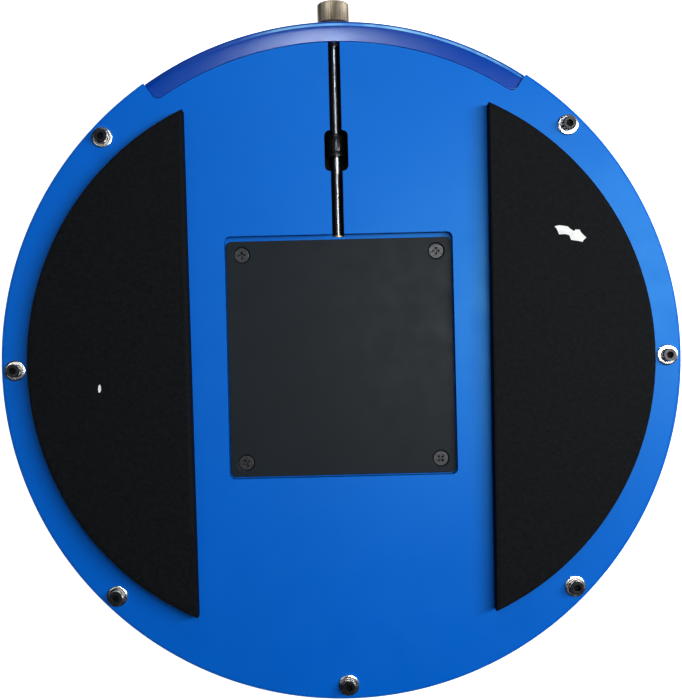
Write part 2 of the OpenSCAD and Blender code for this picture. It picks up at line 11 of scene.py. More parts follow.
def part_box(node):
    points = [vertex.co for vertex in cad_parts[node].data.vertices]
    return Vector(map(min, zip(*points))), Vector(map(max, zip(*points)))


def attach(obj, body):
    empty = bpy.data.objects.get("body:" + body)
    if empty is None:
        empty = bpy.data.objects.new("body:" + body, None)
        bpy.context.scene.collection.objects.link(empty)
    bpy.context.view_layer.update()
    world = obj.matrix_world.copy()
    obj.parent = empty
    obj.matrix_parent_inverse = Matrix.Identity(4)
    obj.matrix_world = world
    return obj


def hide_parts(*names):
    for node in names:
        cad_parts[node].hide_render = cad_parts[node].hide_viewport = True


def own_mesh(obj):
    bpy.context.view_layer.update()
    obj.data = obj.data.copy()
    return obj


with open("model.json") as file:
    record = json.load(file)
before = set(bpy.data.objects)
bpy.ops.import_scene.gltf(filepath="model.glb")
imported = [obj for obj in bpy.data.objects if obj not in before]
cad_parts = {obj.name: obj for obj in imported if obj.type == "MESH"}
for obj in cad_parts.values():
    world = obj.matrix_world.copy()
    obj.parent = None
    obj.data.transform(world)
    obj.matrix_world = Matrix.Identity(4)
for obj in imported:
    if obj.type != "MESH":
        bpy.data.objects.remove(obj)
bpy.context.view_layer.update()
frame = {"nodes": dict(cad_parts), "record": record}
MM = 0.001

# ---- Places, from the frame ----
# Outer sizes and heights are read from the frame. Walls, corners and openings, which a box can't give,
# are the same as in the part's source.

base_lo, base_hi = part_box("base_tray")
OUTER_R = base_hi.x
FACE_Z = base_hi.z
SPLIT_Z = base_lo.z
FLOOR_Z = FACE_Z - 4 * MM
RIM_IN_R = OUTER_R - 14.8 * MM

cover_lo, cover_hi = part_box("cover_plate")
COVER_Z = cover_hi.z
LEDGE_Z = cover_lo.z
COVER_Y = (cover_lo.y + cover_hi.y) / 2
screws_lo, screws_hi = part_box("cover_screws")
COVER_HEAD_R = 3.8 * MM
SCREW_X = screws_hi.x - COVER_HEAD_R
SCREW_Y = (screws_hi.y - screws_lo.y) / 2 - COVER_HEAD_R
SINK_R = 4.55 * MM

RECESS_W = 119.3 * MM
RECESS_L = 126.9 * MM
RECESS_Y = 1.95 * MM
RECESS_R = 3 * MM
WELL_W = 92 * MM
WELL_L = 100.5 * MM
RECESS_TOP = RECESS_Y + RECESS_L / 2
WELL_TOP = COVER_Y + WELL_L / 2

knob_lo, knob_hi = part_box("knob")
KNOB_R = knob_hi.x
AXIS_Z = (knob_lo.z + knob_hi.z) / 2
SHAFT_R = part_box("knob_shaft")[1].x
SLOT_W = 6.2 * MM
SLOT_Z = AXIS_Z - SHAFT_R - 1 * MM
coupling_lo, coupling_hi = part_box("shaft_coupling")
POCKET_W = 12.4 * MM
POCKET_Y = (98.3 * MM, 119.6 * MM)
POCKET_Z = coupling_lo.z - 0.7 * MM

bridge_lo, bridge_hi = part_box("rim_bridge")
BRIDGE_IN_R = 165.8 * MM
BRIDGE_CORNER = 3.5 * MM
BRIDGE_HALF_A = 34.3  # degrees
BRIDGE_TOP = bridge_hi.z
BRIDGE_Z = bridge_lo.z
FACET_R = (174.8 * MM, 176.1 * MM)
FACET_SLOPE = math.radians(21)

bolts_lo, bolts_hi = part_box("rim_bolts")
BOLT_HEAD_R = 3.5 * MM
BOLT_CIRCLE_R = bolts_hi.x - BOLT_HEAD_R
BOLT_TOP = bolts_hi.z
SOCKET_AF = 3.3 * MM
BOLT_ANGLES = [-0.6, 44.6, 135.8, 180.7, 225.3, 270, 314.5]  # as drilled, in degrees
washers_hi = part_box("rim_washers")[1]
WASHER_R = washers_hi.x - BOLT_CIRCLE_R
WASHER_TOP = washers_hi.z
BOLT_R = 2 * MM

FOOT_R = 144.5 * MM
FOOT_ARC_X = 17.3 * MM
FOOT_EDGE_X = 78 * MM
FOOT_SKEW = 0.46  # degrees
FOOT_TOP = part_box("foam_pad_left")[1].z

CLOSE = 0.01 * MM  # heights nearer than this are the same


# ---- Shapes ----


def new_object(name, bm, smooth_below=35):
    """Makes an object of a bmesh: smooth where its faces meet at less than the angle, sharp elsewhere."""
    bmesh.ops.recalc_face_normals(bm, faces=bm.faces)
    for face in bm.faces:
        face.smooth = True
    for edge in bm.edges:
        if len(edge.link_faces) == 2:
            edge.smooth = edge.calc_face_angle(0) < math.radians(smooth_below)
    mesh = bpy.data.meshes.new(name)
    bm.to_mesh(mesh)
    bm.free()
    piece = bpy.data.objects.new(name, mesh)
    bpy.context.scene.collection.objects.link(piece)
    return piece


def arc(centre, radius, start, end, steps):
    """Points on an arc, from one angle in degrees to another."""
    turns = [math.radians(start + (end - start) * i / steps) for i in range(steps + 1)]
    return [(centre[0] + radius * math.cos(a), centre[1] + radius * math.sin(a)) for a in turns]


def round_rect(centre_y, width, length, radius, steps=8):
    """Outline of a rectangle with round corners, centred on the shaft's line."""
    x, y = width / 2 - radius, length / 2 - radius
    corners = [(x, y, 0), (-x, y, 90), (-x, -y, 180), (x, -y, 270)]
    return [p for cx, cy, a in corners for p in arc((cx, centre_y + cy), radius, a, a + 90, steps)]


def prism(name, outline, z0, z1):
    """A solid with an upright outline between two heights."""
    bm = bmesh.new()
    low = [bm.verts.new((x, y, z0)) for x, y in outline]
    high = [bm.verts.new((x, y, z1)) for x, y in outline]
    for i in range(len(outline)):
        j = (i + 1) % len(outline)
        bm.faces.new((low[i], low[j], high[j], high[i]))
    bm.faces.new(low[::-1])
    bm.faces.new(high)
    return new_object(name, bm)


def block(name, x0, x1, y0, y1, z0, z1):
    """A box between two values on each axis."""
    return prism(name, [(x0, y0), (x1, y0), (x1, y1), (x0, y1)], z0, z1)


def lathe(name, profile, segments=96, ring=False, shape=None):
    """A turned solid about Z from (radius, height) points. A ring's profile closes on itself, and any
    other gets a flat cap at each end. shape(radius, height, angle) may change a radius."""
    bm = bmesh.new()
    rows = []
    for radius, height in profile:
        row = []
        for i in range(segments):
            a = 2 * math.pi * i / segments
            r = shape(radius, height, a) if shape else radius
            row.append(bm.verts.new((r * math.cos(a), r * math.sin(a), height)))
        rows.append(row)
    for low, high in zip(rows, rows[1:] + rows[:1] if ring else rows[1:]):
        for i in range(segments):
            j = (i + 1) % segments
            bm.faces.new((low[i], low[j], high[j], high[i]))
    if not ring:
        bm.faces.new(rows[0][::-1])
        bm.faces.new(rows[-1])
    return new_object(name, bm)


def place(piece, matrix):
    """Moves a piece's mesh, so that the piece itself stays at the origin."""
    piece.data.transform(matrix)
    return piece


def along_shaft(piece, y=0.0):
    """Lays a piece made along +Z from the origin on the shaft's axis, along +Y."""
    return place(piece, Matrix.Translation((0, y, AXIS_Z)) @ Matrix.Rotation(-math.pi / 2, 4, "X"))


def join(name, pieces):
    """One object of several."""
    bm = bmesh.new()
    for piece in pieces:
        bm.from_mesh(piece.data)
        bpy.data.objects.remove(piece)
    return new_object(name, bm)


def combine(piece, operation, tools):
    """Unites, cuts or intersects a piece with the tools, exactly, and removes them."""
    for tool in tools:
        modifier = piece.modifiers.new(operation.lower(), "BOOLEAN")
        modifier.operation = operation
        modifier.solver = "EXACT"
        modifier.object = tool
    bpy.context.view_layer.update()
    shaped = bpy.data.meshes.new_from_object(piece.evaluated_get(bpy.context.evaluated_depsgraph_get()))
    piece.modifiers.clear()
    piece.data = shaped
    for tool in tools:
        bpy.data.objects.remove(tool)
    return piece


def round_edges(piece, width, chosen, segments=2, sharp_above=40):
    """Rounds the chosen edges that are sharper than an angle, and evens out the shading beside them."""
    bm = bmesh.new()
    bm.from_mesh(piece.data)
    bmesh.ops.remove_doubles(bm, verts=bm.verts, dist=1e-6)
    bmesh.ops.dissolve_limit(bm, angle_limit=math.radians(0.05), verts=bm.verts, edges=bm.edges)
    limit = math.radians(sharp_above)
    edges = [
        e for e in bm.edges
        if len(e.link_faces) == 2 and e.calc_face_angle(0) > limit and chosen(e)
    ]
    bmesh.ops.bevel(
        bm, geom=edges, offset=width, offset_type="OFFSET", segments=segments, profile=0.5,
        affect="EDGES", clamp_overlap=True,
    )
    name = piece.name
    bpy.data.objects.remove(piece)
    rounded = new_object(name, bm)
    weighted = rounded.modifiers.new("normals", "WEIGHTED_NORMAL")
    weighted.keep_sharp = True
    return rounded


def edge_ring(edge):
    """Smallest and largest radius of an edge's ends about the pad's axis."""
    return sorted(math.hypot(v.co.x, v.co.y) for v in edge.verts)


def at_height(edge, z):
    """Whether both ends of an edge are at a height."""
    return all(abs(v.co.z - z) < CLOSE for v in edge.verts)


# ---- Materials ----

BRIDGE_BLUE = (0.0, 0.045, 0.33)


class Finish:
    """A node material whose colour, roughness and bump vary with grain in the object's own coordinates."""

    def __init__(self, name, color, roughness, metallic=0.0, **sockets):
        self.material = bpy.data.materials.new(name)
        self.material.use_nodes = True
        self.nodes = self.material.node_tree.nodes
        self.links = self.material.node_tree.links
        self.shader = self.nodes["Principled BSDF"]
        self.color = (*color, 1.0)
        self.roughness = roughness
        self.shader.inputs["Base Color"].default_value = self.color
        self.shader.inputs["Roughness"].default_value = roughness
        self.shader.inputs["Metallic"].default_value = metallic
        for socket, value in sockets.items():
            self.shader.inputs[socket.replace("_", " ")].default_value = value
        self.normal = None

    def grain(self, scale, detail=4.0, stretch=(1, 1, 1), rough=0.55):
        """A noise value from 0 to 1. Scale is in cycles per metre."""
        coordinate = self.nodes.new("ShaderNodeTexCoord")
        mapping = self.nodes.new("ShaderNodeMapping")
        mapping.inputs["Scale"].default_value = stretch
        texture = self.nodes.new("ShaderNodeTexNoise")
        texture.inputs["Scale"].default_value = scale
        texture.inputs["Detail"].default_value = detail
        texture.inputs["Roughness"].default_value = rough
        self.links.new(coordinate.outputs["Object"], mapping.inputs["Vector"])
        self.links.new(mapping.outputs["Vector"], texture.inputs["Vector"])
        return texture.outputs["Fac"]

    def span(self, value, low, high, start=0.3, end=0.7):
        """Maps a value from start..end to low..high."""
        node = self.nodes.new("ShaderNodeMapRange")
        for socket, number in zip(("From Min", "From Max", "To Min", "To Max"), (start, end, low, high)):
            node.inputs[socket].default_value = number
        self.links.new(value, node.inputs["Value"])
        return node.outputs["Result"]

    def mix(self, factor, first, second):
        """A colour from first at 0 to second at 1. Either may be another node's output."""
        node = self.nodes.new("ShaderNodeMix")
        node.data_type = "RGBA"
        self.links.new(factor, node.inputs["Factor"])
        for socket, color in ((node.inputs[6], first), (node.inputs[7], second)):
            if isinstance(color, bpy.types.NodeSocket):
                self.links.new(color, socket)
            else:
                socket.default_value = (*color[:3], 1.0)
        return node.outputs[2]

    def paint(self, value):
        self.links.new(value, self.shader.inputs["Base Color"])

    def vary_color(self, scale, amount, **grain):
        """Colour that drifts lighter and darker by the amount."""
        dark = [c * (1 - amount) for c in self.color[:3]]
        light = [c * (1 + amount) for c in self.color[:3]]
        self.paint(self.mix(self.span(self.grain(scale, **grain), 0, 1), dark, light))
        return self

    def vary_roughness(self, scale, amount, **grain):
        low, high = self.roughness - amount, self.roughness + amount
        self.links.new(self.span(self.grain(scale, **grain), low, high), self.shader.inputs["Roughness"])
        return self

    def bump(self, scale, depth, **grain):
        """Adds bumps of the depth, in metres, on top of any before."""
        node = self.nodes.new("ShaderNodeBump")
        node.inputs["Strength"].default_value = 1.0
        node.inputs["Distance"].default_value = depth
        self.links.new(self.grain(scale, **grain), node.inputs["Height"])
        if self.normal is not None:
            self.links.new(self.normal, node.inputs["Normal"])
        self.normal = node.outputs["Normal"]
        self.links.new(self.normal, self.shader.inputs["Normal"])
        return self


def blue_anodised():
    finish = Finish("blue_anodised", (0.0, 0.105, 0.54), 0.36, Specular_IOR_Level=0.3)
    finish.shader.inputs["Specular Tint"].default_value = (0.25, 0.85, 1.0, 1.0)
    finish.vary_color(14, 0.03).vary_roughness(60, 0.03)
    return finish.bump(3200, 0.6e-6)


def blue_gloss():
    finish = Finish("blue_gloss", BRIDGE_BLUE, 0.2, IOR=1.55)
    return finish.vary_color(20, 0.05).vary_roughness(50, 0.02).bump(300, 2e-6)


def black_satin():
    finish = Finish("black_satin", (0.0105, 0.0145, 0.018), 0.4, Specular_IOR_Level=0.075)
    return finish.vary_color(40, 0.06).vary_roughness(90, 0.05).bump(2600, 2e-6)


def screw_black():
    finish = Finish("screw_black", (0.03, 0.03, 0.032), 0.38, metallic=0.7)
    return finish.vary_color(900, 0.4).vary_roughness(700, 0.1).bump(2200, 6e-6)


def black_steel():
    finish = Finish("black_steel", (0.018, 0.018, 0.02), 0.3, metallic=0.6)
    return finish.vary_color(500, 0.3).vary_roughness(400, 0.08).bump(1500, 3e-6)


def foam():
    finish = Finish("foam", (0.0042, 0.0048, 0.0058), 0.6, Specular_IOR_Level=0.05)
    specks = finish.span(finish.grain(1150, detail=2, rough=0.6), 0, 1, 0.66, 0.8)
    patches = finish.span(finish.grain(520, detail=3), 0, 1)
    base = finish.mix(patches, (0.0028, 0.0032, 0.004), (0.0056, 0.0064, 0.0078))
    finish.paint(finish.mix(specks, base, (0.024, 0.026, 0.03)))
    return finish.bump(1400, 60e-6, detail=3).bump(420, 60e-6, detail=2)


def bright_steel():
    finish = Finish("bright_steel", (0.78, 0.77, 0.74), 0.22, metallic=1.0)
    return finish.vary_color(300, 0.08).vary_roughness(500, 0.07).bump(900, 2e-6)


def ring_black():
    finish = Finish("ring_black", (0.02, 0.02, 0.022), 0.45)
    return finish.vary_color(60, 0.1).vary_roughness(120, 0.06).bump(1800, 4e-6)


def seal_rubber():
    finish = Finish("seal_rubber", (0.02, 0.02, 0.02), 0.7)
    return finish.vary_color(200, 0.15).bump(1800, 5e-6)


def sheet_steel():
    finish = Finish("sheet_steel", (0.55, 0.55, 0.56), 0.35, metallic=1.0)
    return finish.vary_roughness(40, 0.08, stretch=(1, 20, 1)).bump(200, 2e-6, stretch=(1, 25, 1))


def playing_rubber():
    finish = Finish("playing_rubber", (0.028, 0.028, 0.031), 0.78)
    return finish.vary_color(30, 0.12).bump(1500, 40e-6, detail=2).bump(300, 25e-6, detail=3)


def bronze():
    finish = Finish("bronze", (0.5, 0.33, 0.13), 0.42, metallic=1.0)
    return finish.vary_color(700, 0.15).bump(2500, 8e-6)


def nylon():
    finish = Finish("nylon", (0.68, 0.66, 0.6), 0.5, Subsurface_Weight=0.1)
    return finish.vary_color(80, 0.04).bump(900, 5e-6)


def spring_steel():
    finish = Finish("spring_steel", (0.6, 0.6, 0.62), 0.28, metallic=1.0)
    return finish.vary_color(400, 0.08).bump(1200, 2e-6)


def nickel():
    finish = Finish("nickel", (0.3, 0.255, 0.19), 0.5, metallic=0.85)
    return finish.vary_color(1600, 0.5, stretch=(1, 0.03, 0.3)).vary_roughness(700, 0.06).bump(1800, 3e-6)


def shaft_steel():
    finish = Finish("shaft_steel", (0.42, 0.43, 0.44), 0.26, metallic=1.0)
    return finish.vary_roughness(250, 0.06, stretch=(1, 0.05, 1)).bump(900, 2e-6, stretch=(1, 6, 1))


def dark_steel():
    finish = Finish("dark_steel", (0.075, 0.075, 0.08), 0.24, metallic=0.95)
    return finish.vary_color(500, 0.2).bump(700, 3e-6, stretch=(1, 12, 1))


def cast_grey():
    finish = Finish("cast_grey", (0.34, 0.35, 0.36), 0.5, metallic=0.9)
    return finish.vary_color(120, 0.1).bump(700, 20e-6)


def brass():
    finish = Finish("brass", (0.72, 0.5, 0.18), 0.28, metallic=1.0)
    return finish.vary_color(200, 0.08).bump(600, 3e-6, stretch=(1, 12, 1))


def paper():
    finish = Finish("paper", (0.78, 0.78, 0.76), 0.8)
    return finish.vary_color(260, 0.1).bump(700, 30e-6)


def notch_painted_shade():
    """Painted shade on the floor of the notch under the bridge."""
    finish = Finish("notch_painted_shade", (0.0, 0.014, 0.09), 0.5, Specular_IOR_Level=0.1)
    return finish.vary_color(40, 0.1).bump(900, 2e-6)


def facet_painted_highlight():
    """Painted highlight on the bridge's outer facet: a bright cyan sheen, except at its left end, which
    keeps the bridge's blue.
    """
    finish = Finish("facet_painted_highlight", (0.24, 0.62, 0.95), 0.28, metallic=0.35)
    coordinate = finish.nodes.new("ShaderNodeTexCoord")
    place_x = finish.nodes.new("ShaderNodeSeparateXYZ")
    finish.links.new(coordinate.outputs["Object"], place_x.inputs["Vector"])
    painted_sheen = finish.mix(finish.span(finish.grain(45, detail=3), 0, 1), (0.02, 0.2, 0.7), (0.3, 0.7, 0.95))
    from_left = finish.span(place_x.outputs["X"], 0, 1, -60 * MM, -10 * MM)
    finish.paint(finish.mix(from_left, BRIDGE_BLUE, painted_sheen))
    return finish.bump(500, 3e-6)


def painted_shade_black():
    """Painted shade: near-black on deep inner faces, the shaft's channel, the coupling's pocket and the rim
    screws' sockets.
    """
    finish = Finish("painted_shade_black", (0.0022, 0.0026, 0.0034), 0.6, Specular_IOR_Level=0.08)
    return finish.vary_color(300, 0.2).bump(900, 4e-6)


FINISHES = {
    make.__name__: make().material
    for make in (
        blue_anodised, blue_gloss, black_satin, screw_black, black_steel, foam, bright_steel,
        ring_black, seal_rubber, sheet_steel, playing_rubber, bronze, nylon, spring_steel,
        nickel, shaft_steel, dark_steel, cast_grey, brass, paper, painted_shade_black,
        notch_painted_shade, facet_painted_highlight,
    )
}
SLOT_OF = {part["node"]: part["material_slot"] for part in frame["record"]["subparts"]}
BODY_OF = {node: body for body, nodes in frame["record"]["behaviour"]["bodies"].items() for node in nodes}


def dress(piece, material):
    """Gives a piece one finish all over."""
    piece.data.materials.clear()
    piece.data.materials.append(material)


def dress_inside(piece, material, chosen):
    """A second finish for the faces of a piece that are chosen by their middle and normal."""
    piece.data.materials.append(material)
    for face in piece.data.polygons:
        if chosen(face.center, face.normal):
            face.material_index = len(piece.data.materials) - 1


def stand_for(piece, node):
    """A piece takes a CAD node's place, body and finish."""
    dress(piece, FINISHES[SLOT_OF[node]])
    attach(piece, BODY_OF[node])
    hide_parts(node)


# ---- Camera, floor and light ----

CAMERA_HEIGHT = 640 * MM
CAMERA_OFFSET = (0, 4.75 * MM)
CAMERA_TURN = -1.36  # degrees
CAMERA_LENS = 63.04
CAMERA_SENSOR = 36


def make_camera():
    """Straight down on the blue face, a little towards the knob and a little turned."""
    data = bpy.data.cameras.new("camera")
    data.lens = CAMERA_LENS
    data.sensor_width = CAMERA_SENSOR
    data.sensor_fit = "AUTO"
    data.clip_start = 10 * MM
    camera = bpy.data.objects.new("camera", data)
    bpy.context.scene.collection.objects.link(camera)
    camera.location = (*CAMERA_OFFSET, FACE_Z + CAMERA_HEIGHT)
    camera.rotation_euler = (0, 0, math.radians(CAMERA_TURN))
    bpy.context.scene.camera = camera


def make_floor():
    """A wide floor that gives off white light, so that no shadow shows on it."""
    half, thick = 12.0, 0.02
    floor = block("floor", -half, half, -half, half, -thick, 0.0)
    finish = Finish("floor", (0.9, 0.9, 0.9), 0.9)
    finish.shader.inputs["Emission Color"].default_value = (1, 1, 1, 1)
    finish.shader.inputs["Emission Strength"].default_value = 1.0
    finish.vary_color(3, 0.01)
    dress(floor, finish.material)


def area_light(name, location, target, size, power, color=(1, 1, 1)):
    """A rectangular lamp aimed at a target. Places and sizes are in metres."""
    data = bpy.data.lights.new(name, "AREA")
    data.shape = "RECTANGLE"
    data.size, data.size_y = size
    data.energy = power
    data.color = color
    light = bpy.data.objects.new(name, data)
    bpy.context.scene.collection.objects.link(light)
    light.location = location
    light.rotation_euler = (Vector(target) - Vector(location)).to_track_quat("-Z", "Y").to_euler()


def make_lights():
    """A narrow softbox up on the right, a weak strip up on the left, a small cool window beyond the knob,
    aimed at the bridge, and a long panel low behind that."""
    tilt, turn, reach = math.radians(29), math.radians(15), 1.05
    aside = reach * math.sin(tilt)
    key = (aside * math.cos(turn), aside * math.sin(turn), reach * math.cos(tilt))
    area_light("key", key, (0, 0, 0), (0.2, 1.0), 12.2)
    area_light("strip", (-0.5, 0.06, 1.2), (0, 0.06, 0), (0.14, 0.5), 0.5)
    area_light("far_window", (-0.027, 0.49, 1.25), (0, 0.17, 0), (0.07, 0.15), 1.6, (0.66, 0.8, 1.0))
    area_light("back_panel", (0, 1.3, 0.75), (0, 0.1, 0), (1.2, 0.25), 3.0)


def make_world():
    """Dim overhead and bright near the horizon."""
    world = bpy.data.worlds.new("world")
    world.use_nodes = True
    bpy.context.scene.world = world
    nodes, links = world.node_tree.nodes, world.node_tree.links
    background = nodes["Background"]
    coordinate = nodes.new("ShaderNodeTexCoord")
    height = nodes.new("ShaderNodeSeparateXYZ")
    ramp = nodes.new("ShaderNodeMapRange")
    ramp.interpolation_type = "SMOOTHSTEP"
    for socket, number in zip(("From Min", "From Max", "To Min", "To Max"), (0.0, 0.85, 0.65, 0.06)):
        ramp.inputs[socket].default_value = number
    links.new(coordinate.outputs["Generated"], height.inputs["Vector"])
    links.new(height.outputs["Z"], ramp.inputs["Value"])
    links.new(ramp.outputs["Result"], background.inputs["Strength"])


# ---- Base ----

PAST = 1 * MM  # how far a tool reaches past the shape it adds to or cuts


def bridge_outline(inner_r, outer_r, half_a, corner):
    """A stretch of the rim about the shaft's line, with its two inner corners rounded."""
    corner_r = inner_r + corner
    corner_a = math.degrees(math.asin(corner / corner_r))
    middle = 90
    right, left = middle - half_a + corner_a, middle + half_a - corner_a
    points = arc((0, 0), outer_r, middle - half_a, middle + half_a, 72)
    for side, start in ((left, left + 90), (right, right + 180)):
        centre = (corner_r * math.cos(math.radians(side)), corner_r * math.sin(math.radians(side)))
        points += arc(centre, corner, start, start + 90, 8)
        if side == left:
            points += arc((0, 0), inner_r, left, right, 72)[1:-1]
    return points


def base_profile():
    """Section of the base: flat face, round outer edge, chamfered rim wall and the lip on the gasket."""
    edge, chamfer = 1.8 * MM, 1 * MM
    lip_r, lip_h = 156 * MM, 3 * MM
    corner = arc((OUTER_R - edge, FACE_Z - edge), edge, 0, 90, 8)
    return [
        (RIM_IN_R, FLOOR_Z), (RIM_IN_R, SPLIT_Z + lip_h), (lip_r, SPLIT_Z + lip_h), (lip_r, SPLIT_Z),
        (OUTER_R - chamfer, SPLIT_Z), (OUTER_R, SPLIT_Z + chamfer), *corner,
    ]


def rod(name, radius, y0, y1, segments=48):
    """A plain cylinder on the shaft's axis."""
    return along_shaft(lathe(name, [(radius, 0), (radius, y1 - y0)], segments), y0)


def to_bolt(angle):
    """The move that carries a shape from the pad's axis out to the rim screw at an angle."""
    return Matrix.Rotation(math.radians(angle), 4, "Z") @ Matrix.Translation((BOLT_CIRCLE_R, 0, 0))


def bolt_holes(radius, z0, length):
    """One tool that bores upwards from a height at every rim screw."""
    holes = []
    for angle in BOLT_ANGLES:
        hole = place(lathe("hole", [(radius, 0), (radius, length)], 32), Matrix.Translation((0, 0, z0)))
        holes.append(place(hole, to_bolt(angle)))
    return join("bolt_holes", holes)


def add_walls(shell):
    """Adds the solid round the cover's recess, the shaft's channel and the coupling's pocket."""
    wall, low, high = 4 * MM, SPLIT_Z + PAST, FLOOR_Z + PAST
    around = round_rect(RECESS_Y, RECESS_W + 2 * wall, RECESS_L + 2 * wall, RECESS_R + wall)
    channel_x, channel_z = SLOT_W / 2 + 6 * MM, SLOT_Z - 2.5 * MM
    pocket_x = POCKET_W / 2 + wall
    combine(shell, "UNION", [
        prism("cover_block", around, low, high),
        block("channel", -channel_x, channel_x, RECESS_TOP, RIM_IN_R + PAST, channel_z, high),
        block("pocket_wall", -pocket_x, pocket_x, POCKET_Y[0] - wall, POCKET_Y[1] + wall, low, high),
    ])


def cut_openings(shell):
    """Cuts the recess, well, slot, pocket and notch, and the bores for the shaft and the rim screws."""
    high = FACE_Z + 2 * PAST
    pocket_y, pocket_l, pocket_r = sum(POCKET_Y) / 2, POCKET_Y[1] - POCKET_Y[0], 2.8 * MM
    notch = bridge_outline(BRIDGE_IN_R, OUTER_R + 3 * PAST, BRIDGE_HALF_A, BRIDGE_CORNER)
    bore_r, spot_r, spot_depth = 4 * MM, 6.5 * MM, 0.5 * MM
    hole_r, hole_l = BOLT_R + 0.25 * MM, 24 * MM
    combine(shell, "DIFFERENCE", [
        prism("recess", round_rect(RECESS_Y, RECESS_W, RECESS_L, RECESS_R), LEDGE_Z, high),
        block("well", -WELL_W / 2, WELL_W / 2, COVER_Y - WELL_L / 2, WELL_TOP, SPLIT_Z, LEDGE_Z + PAST),
        block("slot", -SLOT_W / 2, SLOT_W / 2, RECESS_TOP - PAST, BRIDGE_IN_R + PAST, SLOT_Z, high),
        prism("pocket", round_rect(pocket_y, POCKET_W, pocket_l, pocket_r), POCKET_Z, high),
        prism("notch", notch, BRIDGE_Z, high),
        rod("rim_bore", bore_r, BRIDGE_IN_R - PAST, OUTER_R + PAST),
        rod("spot_face", spot_r, OUTER_R - spot_depth, OUTER_R + PAST, 64),
        rod("box_bore", bore_r, WELL_TOP - PAST, RECESS_TOP + PAST),
        bolt_holes(hole_r, SPLIT_Z - PAST, hole_l),
    ])


def base_shell():
    """The blue base in one piece, with painted shade: near-black inside the shaft's channel and the
    coupling's pocket, and deep blue on the floor of the bridge's notch.
    """
    shell = lathe("base_shell", base_profile(), 320)
    add_walls(shell)
    cut_openings(shell)
    within = OUTER_R - 3 * MM
    shell = round_edges(shell, 0.35 * MM, lambda e: at_height(e, FACE_Z) and edge_ring(e)[0] < within)
    stand_for(shell, "base_tray")
    half_w, below = POCKET_W / 2 + 0.1 * MM, FACE_Z - 0.4 * MM

    def in_channel(middle, normal):
        along = RECESS_TOP - PAST < middle.y < BRIDGE_IN_R + PAST
        return along and abs(middle.x) < half_w and middle.z < below and normal.z > -0.5

    def notch_floor(middle, normal):
        return abs(middle.z - BRIDGE_Z) < CLOSE and normal.z > 0.5

    # Painted shade: the channel's and pocket's inner faces take the near-black finish.
    dress_inside(shell, FINISHES["painted_shade_black"], in_channel)
    # Painted shade: the notch floor under the bridge takes a dark blue.
    dress_inside(shell, FINISHES["notch_painted_shade"], notch_floor)


def bridge_profile():
    """Section of the bridge: flat by its inner edge, gently crowned, with a shallow step down to a sloping
    facet and a round outer edge."""
    crown_from, crown_to, crown_r, steps = 167 * MM, 173.9 * MM, 150 * MM, 6
    crown = []
    for i in range(steps + 1):
        r = crown_from + (crown_to - crown_from) * i / steps
        crown.append((r, BRIDGE_TOP - (r - crown_from) ** 2 / (2 * crown_r)))
    crown_z = crown[-1][1]
    facet_top = crown_z - 0.25 * MM
    step = [(174.2 * MM, crown_z - 0.08 * MM), (FACET_R[0], facet_top)]
    facet_z = facet_top - (FACET_R[1] - FACET_R[0]) * math.tan(FACET_SLOPE)
    round_r, outer_r, inner_r = 0.5 * MM, OUTER_R - 0.8 * MM, BRIDGE_IN_R - PAST
    outer = arc((outer_r - round_r, facet_z - round_r), round_r, 70, 0, 5)
    return [
        (inner_r, BRIDGE_TOP), *crown, *step, (FACET_R[1], facet_z), *outer,
        (outer_r, BRIDGE_Z), (inner_r, BRIDGE_Z),
    ]


def rim_bridge():
    """The glossy arc over the shaft's outer end, with a thin gap along its inner edge."""
    gap, past, end_gap_a = 0.6 * MM, 3 * MM, 0.05
    piece = lathe("rim_bridge_piece", bridge_profile(), 480, ring=True)
    outline = bridge_outline(BRIDGE_IN_R + gap, OUTER_R + past, BRIDGE_HALF_A - end_gap_a, BRIDGE_CORNER)
    combine(piece, "INTERSECT", [prism("slice", outline, BRIDGE_Z - past, BRIDGE_TOP + past)])
    low = BRIDGE_TOP - 2 * MM
    piece = round_edges(piece, 0.55 * MM, lambda e: min(v.co.z for v in e.verts) > low, 3, sharp_above=50)
    stand_for(piece, "rim_bridge")
    # Painted highlight: the sloping outer facet takes the bright cyan finish.
    upright = math.cos(FACET_SLOPE)
    dress_inside(piece, FINISHES["facet_painted_highlight"], lambda middle, normal: (
        abs(normal.z - upright) < 0.02 and middle.xy.length > FACET_R[0]))


# ---- Cover ----

SCREW_TURNS = (30, 0, 45, 0)


def at_corners(x, y):
    """The places of the cover's four screws."""
    return [(sx * x, COVER_Y + sy * y) for sx in (-1, 1) for sy in (-1, 1)]


def cover_plate():
    """The black cover, countersunk at its corners."""
    width, length = cover_hi.x - cover_lo.x, cover_hi.y - cover_lo.y
    plate = prism("cover", round_rect(COVER_Y, width, length, 2.7 * MM), LEDGE_Z, COVER_Z)
    through, past = 2.3 * MM, 0.5 * MM
    profile = [
        (through, LEDGE_Z - past), (through, COVER_Z - (SINK_R - through)), (SINK_R + past, COVER_Z + past),
    ]
    sinks = []
    for x, y in at_corners(SCREW_X, SCREW_Y):
        sinks.append(place(lathe("sink", profile, 64), Matrix.Translation((x, y, 0))))
    combine(plate, "DIFFERENCE", [join("sinks", sinks)])
    stand_for(round_edges(plate, 0.3 * MM, lambda e: at_height(e, COVER_Z)), "cover_plate")


def cross_slot(top):
    """Tools for a cross recess: two arms that narrow downwards."""
    half_l, half_w, depth = 2.15 * MM, 0.5 * MM, 1.8 * MM
    taper_l, taper_w = 0.55, 0.7
    arms = []
    for turn in (0, 90):
        arm = block("arm", -half_l, half_l, -half_w, half_w, top - depth, top + 0.5 * MM)
        for vertex in arm.data.vertices:
            if vertex.co.z < top:
                vertex.co.x *= taper_l
                vertex.co.y *= taper_w
        arms.append(place(arm, Matrix.Rotation(math.radians(turn), 4, "Z")))
    return arms


